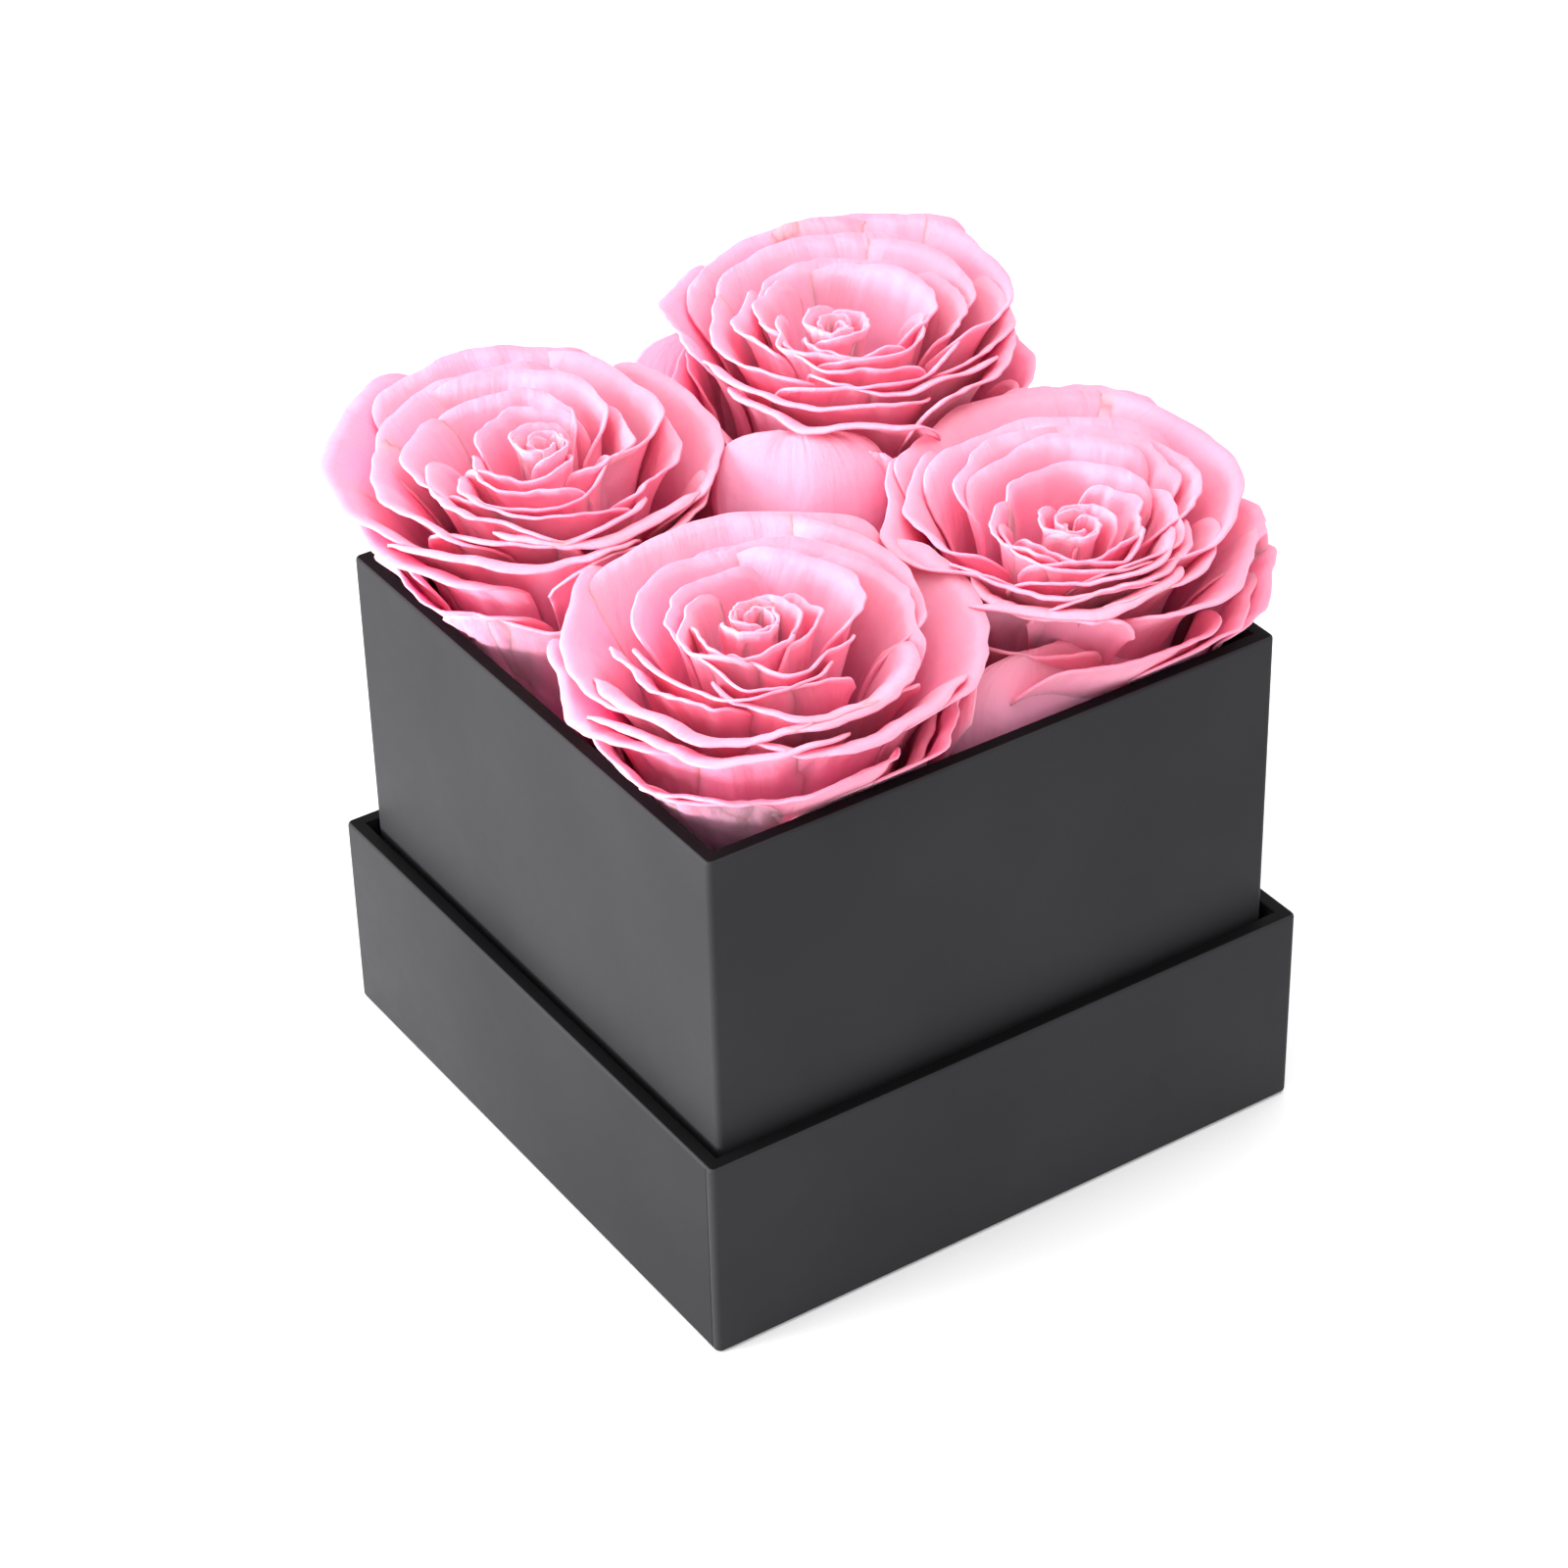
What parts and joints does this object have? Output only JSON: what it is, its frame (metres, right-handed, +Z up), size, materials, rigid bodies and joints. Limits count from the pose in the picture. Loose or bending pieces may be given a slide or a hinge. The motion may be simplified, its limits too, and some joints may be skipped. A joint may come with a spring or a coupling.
{
  "type": "flower box",
  "caption": "Square paper-covered box that stands in its own upturned lid and shows preserved roses in dry foam above its rim; the box lifts straight out.",
  "frame": {"origin": "middle of the underside of the upturned lid, on the surface that the part stands on", "axes": "+Z up out of the box; -Y is the front and -X the left side, both square to the box's walls"},
  "size_m": [0.1168, 0.1207, 0.1113],
  "materials": {
    "cover_paper": "satin",
    "lining_paper": "matte",
    "greyboard": "matte",
    "kraft_tape": "satin",
    "dry_foam": "matte",
    "petal": "satin",
    "green_stem": "satin"
  },
  "bodies": {
    "lid": {"lid_floor_board": "greyboard", "lid_front_board": "greyboard", "lid_back_board": "greyboard", "lid_left_board": "greyboard", "lid_right_board": "greyboard", "lid_stay_front_left": "kraft_tape", "lid_stay_front_right": "kraft_tape", "lid_stay_back_right": "kraft_tape", "lid_stay_back_left": "kraft_tape", "lid_cover_paper": "cover_paper", "lid_base_sheet": "cover_paper", "lid_lining_paper": "lining_paper"},
    "box": {"box_floor_board": "greyboard", "box_front_board": "greyboard", "box_back_board": "greyboard", "box_left_board": "greyboard", "box_right_board": "greyboard", "box_stay_front_left": "kraft_tape", "box_stay_front_right": "kraft_tape", "box_stay_back_right": "kraft_tape", "box_stay_back_left": "kraft_tape", "box_cover_paper": "cover_paper", "box_base_sheet": "cover_paper", "box_lining_paper": "lining_paper", "foam_block": "dry_foam", "rose_front_stem": "green_stem", "rose_front_calyx": "green_stem", "rose_front_heart": "petal", "rose_front_inner_petals": "petal", "rose_front_middle_petals": "petal", "rose_front_outer_petals": "petal", "rose_left_stem": "green_stem", "rose_left_calyx": "green_stem", "rose_left_heart": "petal", "rose_left_inner_petals": "petal", "rose_left_middle_petals": "petal", "rose_left_outer_petals": "petal", "rose_right_stem": "green_stem", "rose_right_calyx": "green_stem", "rose_right_heart": "petal", "rose_right_inner_petals": "petal", "rose_right_middle_petals": "petal", "rose_right_outer_petals": "petal", "rose_back_stem": "green_stem", "rose_back_calyx": "green_stem", "rose_back_heart": "petal", "rose_back_inner_petals": "petal", "rose_back_middle_petals": "petal", "rose_back_outer_petals": "petal", "centre_petal_large": "petal", "centre_petal_small": "petal", "front_gap_petal": "petal", "back_gap_petal": "petal"}
  },
  "joints": [
    {"name": "box_lift", "type": "slide", "parent": "lid", "child": "box", "axis": [0, 0, 1], "range_m": [0, 0.04]}
  ]
}
